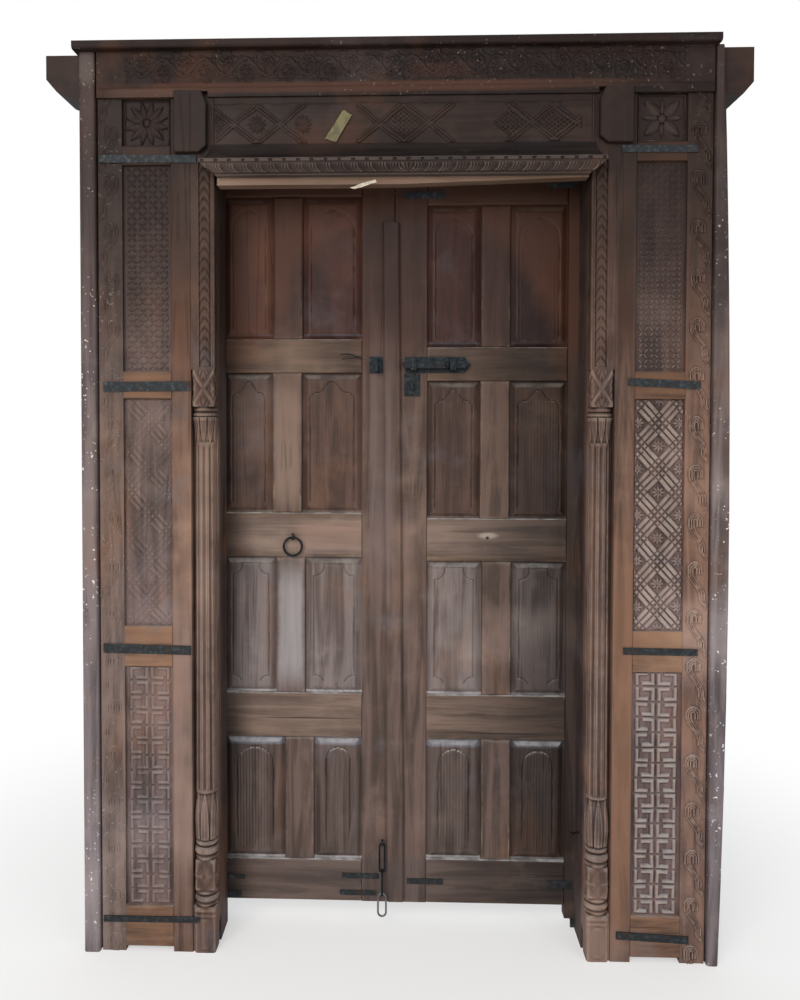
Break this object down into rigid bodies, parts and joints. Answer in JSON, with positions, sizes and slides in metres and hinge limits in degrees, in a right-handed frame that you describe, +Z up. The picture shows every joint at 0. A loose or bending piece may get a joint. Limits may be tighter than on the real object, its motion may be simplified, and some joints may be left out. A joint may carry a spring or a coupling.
{
  "type": "carved temple door",
  "caption": "Two-leaf carved wooden door in its carved frame, with engaged columns, panelled leaves hung on pivots, iron straps, a sliding bolt, a ring pull and a hanging chain.",
  "frame": {"origin": "middle of the whole object's box at the feet of the frame", "axes": "+Z up along the door's height, -Y out of the carved front, +X to the viewer's right"},
  "size_m": [1.837, 0.254, 2.4],
  "materials": {
    "frame_wood": "weathered, matte",
    "leaf_wood": "weathered, matte",
    "pale_lath": "bare, matte",
    "iron": "rusted, matte"
  },
  "bodies": {
    "frame": {"cap_moulding": "frame_wood", "cornice": "frame_wood", "frieze_board": "frame_wood", "head_board": "frame_wood", "inner_head": "frame_wood", "jamb_straps": "iron", "left_border_stile": "frame_wood", "left_column": "frame_wood", "left_edge_strip": "frame_wood", "left_floral_panel": "frame_wood", "left_fret_panel": "frame_wood", "left_inner_stile": "frame_wood", "left_jamb_rails": "frame_wood", "left_lattice_panel": "frame_wood", "left_pilaster_head": "frame_wood", "left_rear_post": "frame_wood", "left_rosette_panel": "frame_wood", "pivot_brackets": "iron", "rear_lintel": "frame_wood", "right_border_stile": "frame_wood", "right_column": "frame_wood", "right_edge_strip": "frame_wood", "right_floral_panel": "frame_wood", "right_fret_panel": "frame_wood", "right_inner_stile": "frame_wood", "right_jamb_rails": "frame_wood", "right_lattice_panel": "frame_wood", "right_pilaster_head": "frame_wood", "right_rear_post": "frame_wood", "right_rosette_panel": "frame_wood", "soffit_strip": "pale_lath"},
    "left_leaf": {"left_hinge_stile": "leaf_wood", "left_meeting_stile": "leaf_wood", "left_leaf_rails": "leaf_wood", "left_muntins": "leaf_wood", "left_arch_panels": "leaf_wood", "left_ogee_panels": "leaf_wood", "left_cartouche_panels": "leaf_wood", "left_reeded_panels": "leaf_wood", "left_leaf_straps": "iron", "batten": "leaf_wood", "ring_staple": "iron", "eye_plate": "iron", "chain_staple": "iron"},
    "right_leaf": {"right_hinge_stile": "leaf_wood", "right_meeting_stile": "leaf_wood", "right_leaf_rails": "leaf_wood", "right_muntins": "leaf_wood", "right_arch_panels": "leaf_wood", "right_ogee_panels": "leaf_wood", "right_cartouche_panels": "leaf_wood", "right_reeded_panels": "leaf_wood", "right_leaf_straps": "iron", "bolt_plate": "iron", "lock_plate": "iron"},
    "ring": {"ring_pull": "iron"},
    "bolt": {"bolt_bar": "iron"},
    "upper_link": {"chain_link_1": "iron"},
    "middle_link": {"chain_link_2": "iron"},
    "lower_link": {"chain_link_3": "iron"}
  },
  "joints": [
    {"name": "right_leaf_swing", "type": "hinge", "parent": "frame", "child": "right_leaf", "pos_m": [0.5185, 0.106, 0.026], "axis": [0, 0, -1], "range_deg": [0, 100]},
    {"name": "left_leaf_swing", "type": "hinge", "parent": "frame", "child": "left_leaf", "pos_m": [-0.5195, 0.106, 0.026], "axis": [0, 0, 1], "range_deg": [0, 85]},
    {"name": "ring_swing", "type": "hinge", "parent": "left_leaf", "child": "ring", "pos_m": [-0.2835, 0.0756, 1.0963], "axis": [-1, 0, 0], "range_deg": [0, 120]},
    {"name": "bolt_slide", "type": "slide", "parent": "right_leaf", "child": "bolt", "axis": [-1, 0, 0], "range_m": [0, 0.075]},
    {"name": "upper_link_swing", "type": "hinge", "parent": "left_leaf", "child": "upper_link", "pos_m": [-0.0325, 0.07, 0.239], "axis": [-1, 0, 0], "range_deg": [0, 60]},
    {"name": "middle_link_swing", "type": "hinge", "parent": "upper_link", "child": "middle_link", "pos_m": [-0.0325, 0.07, 0.1568], "axis": [-1, 0, 0], "range_deg": [0, 50]},
    {"name": "lower_link_swing", "type": "hinge", "parent": "middle_link", "child": "lower_link", "pos_m": [-0.0325, 0.07, 0.0958], "axis": [-1, 0, 0], "range_deg": [0, 50]}
  ],
  "couplings": [
    {"joint": "left_leaf_swing", "follows": "right_leaf_swing", "ratio": 0.85}
  ]
}
